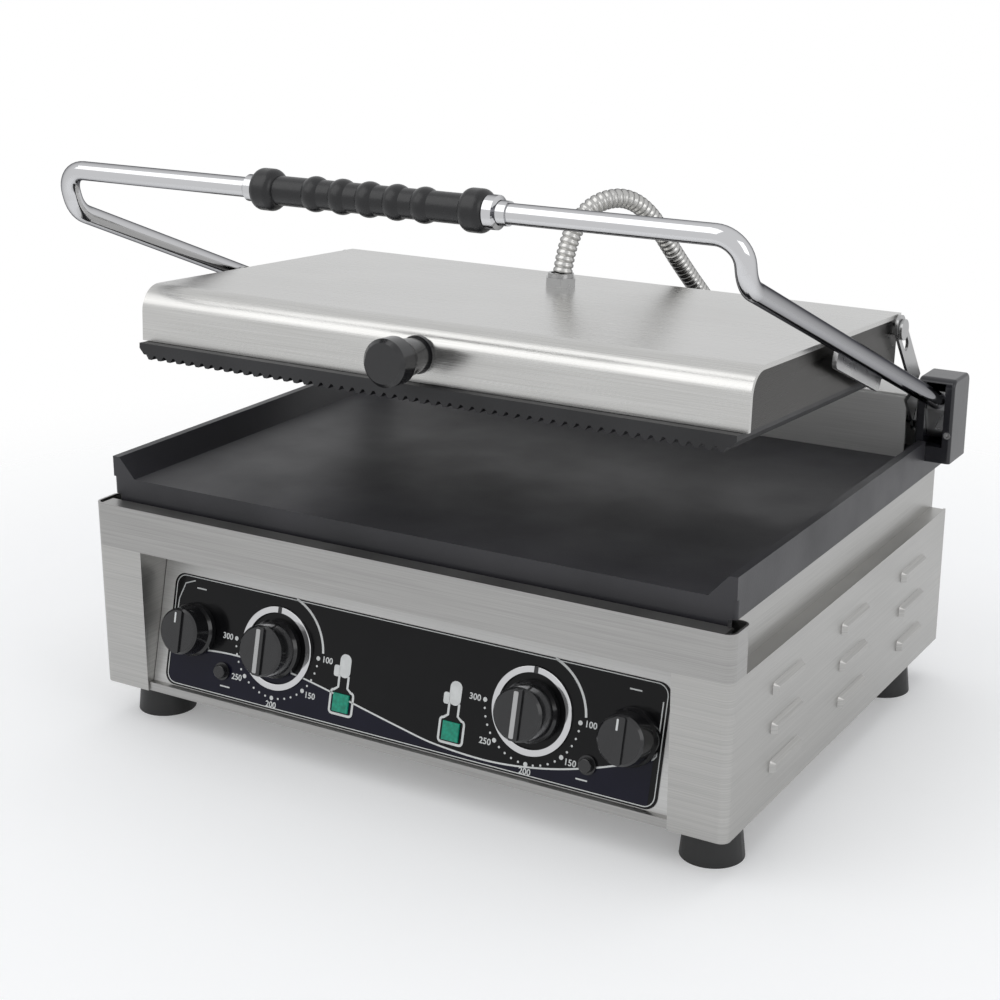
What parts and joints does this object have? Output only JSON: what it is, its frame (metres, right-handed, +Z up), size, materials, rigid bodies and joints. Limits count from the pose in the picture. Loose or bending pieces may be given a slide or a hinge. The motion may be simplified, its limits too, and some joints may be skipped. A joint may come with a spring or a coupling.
{
  "type": "contact grill",
  "caption": "Countertop contact grill with a floating ribbed lid on a bent bar handle, a flat lower griddle, a leaning control panel and a conduit from lid to housing.",
  "frame": {"origin": "floor level, midway between the grip and the conduit gland and on the centre line", "axes": "+X to the right seen from the front, +Y from the control panel to the back, +Z up"},
  "size_m": [0.494, 0.4134, 0.3936],
  "materials": {
    "stainless": "brushed",
    "black_iron": "matte",
    "black_casting": "satin",
    "chrome": "polished",
    "steel": "satin",
    "insulation": "matte",
    "film": "gloss",
    "black_plastic": "satin",
    "lamp_lens": "gloss",
    "black_rubber": "matte"
  },
  "bodies": {
    "root": {"base_plate": "stainless", "side_panel_left": "stainless", "side_panel_right": "stainless", "rear_panel": "stainless", "front_band": "stainless", "tray_frame": "stainless", "griddle_plate": "black_iron", "lower_element": "steel", "lower_element_clamps": "steel", "lower_insulation": "insulation", "splash_guard": "stainless", "hinge_block_left": "black_casting", "hinge_block_right": "black_casting", "hinge_block_screws": "steel", "balance_spring_left": "steel", "balance_spring_right": "steel", "control_fascia": "steel", "fascia_film": "film", "dial_ring_left": "chrome", "dial_ring_right": "chrome", "thermostat_body_left": "black_plastic", "thermostat_body_right": "black_plastic", "switch_body_left": "black_plastic", "switch_body_right": "black_plastic", "indicator_lamp_left": "lamp_lens", "indicator_lamp_right": "lamp_lens", "cutout_body_left": "black_plastic", "cutout_body_right": "black_plastic", "mains_gland": "black_plastic", "conduit_gland": "steel", "conduit": "steel", "feet": "black_rubber"},
    "handle": {"handle_bar": "chrome", "handle_grip": "black_plastic", "grip_ferrules": "chrome", "arm_knuckle_left": "steel", "arm_knuckle_right": "steel", "hinge_shaft": "steel", "shaft_nuts": "steel", "lid_hanger_left": "steel", "lid_hanger_right": "steel", "lid_pivot_pins": "steel"},
    "lid": {"lid_cover": "stainless", "lid_side_left": "stainless", "lid_side_right": "stainless", "lid_rear_panel": "stainless", "upper_plate": "black_iron", "upper_element": "steel", "upper_insulation": "insulation", "front_knob": "black_plastic", "conduit_collar": "steel", "link_pins": "steel"},
    "link_left": {"rear_link_left": "steel"},
    "link_right": {"rear_link_right": "steel"},
    "thermostat_knob_left_body": {"thermostat_knob_left": "black_plastic"},
    "switch_knob_left_body": {"switch_knob_left": "black_plastic"},
    "reset_button_left_body": {"reset_button_left": "black_plastic"},
    "thermostat_knob_right_body": {"thermostat_knob_right": "black_plastic"},
    "switch_knob_right_body": {"switch_knob_right": "black_plastic"},
    "reset_button_right_body": {"reset_button_right": "black_plastic"}
  },
  "joints": [
    {"name": "handle_hinge", "type": "hinge", "parent": "root", "child": "handle", "pos_m": [0, 0.162, 0.198], "axis": [-1, 0, 0], "range_deg": [-24.7, 2], "deforming": ["conduit"]},
    {"name": "lid_pivot", "type": "hinge", "parent": "handle", "child": "lid", "pos_m": [0, 0.012, 0.271], "axis": [-1, 0, 0], "range_deg": [-1.8, 21.4]},
    {"name": "link_left_hinge", "type": "hinge", "parent": "root", "child": "link_left", "pos_m": [0, 0.162, 0.198], "axis": [-1, 0, 0], "range_deg": [-41, 3.5]},
    {"name": "link_right_hinge", "type": "hinge", "parent": "root", "child": "link_right", "pos_m": [0, 0.162, 0.198], "axis": [-1, 0, 0], "range_deg": [-41, 3.5]},
    {"name": "thermostat_left", "type": "hinge", "parent": "root", "child": "thermostat_knob_left_body", "pos_m": [-0.097, -0.16784, 0.07375], "axis": [0, 0.9703, -0.2419], "range_deg": [0, 270]},
    {"name": "switch_left", "type": "hinge", "parent": "root", "child": "switch_knob_left_body", "pos_m": [-0.166, -0.16796, 0.07327], "axis": [0, 0.9703, -0.2419], "range_deg": [0, 90]},
    {"name": "reset_left", "type": "slide", "parent": "root", "child": "reset_button_left_body", "axis": [0, 0.9703, -0.2419], "range_m": [0, 0.0025], "stiffness_N_per_m": 300},
    {"name": "thermostat_right", "type": "hinge", "parent": "root", "child": "thermostat_knob_right_body", "pos_m": [0.097, -0.16784, 0.07375], "axis": [0, 0.9703, -0.2419], "range_deg": [0, 270]},
    {"name": "switch_right", "type": "hinge", "parent": "root", "child": "switch_knob_right_body", "pos_m": [0.166, -0.16796, 0.07327], "axis": [0, 0.9703, -0.2419], "range_deg": [0, 90]},
    {"name": "reset_right", "type": "slide", "parent": "root", "child": "reset_button_right_body", "axis": [0, 0.9703, -0.2419], "range_m": [0, 0.0025], "stiffness_N_per_m": 300}
  ],
  "couplings": [
    {"joint": "lid_pivot", "follows": "handle_hinge", "ratio": -0.862},
    {"joint": "link_left_hinge", "follows": "handle_hinge", "ratio": 1.651},
    {"joint": "link_right_hinge", "follows": "handle_hinge", "ratio": 1.651}
  ]
}
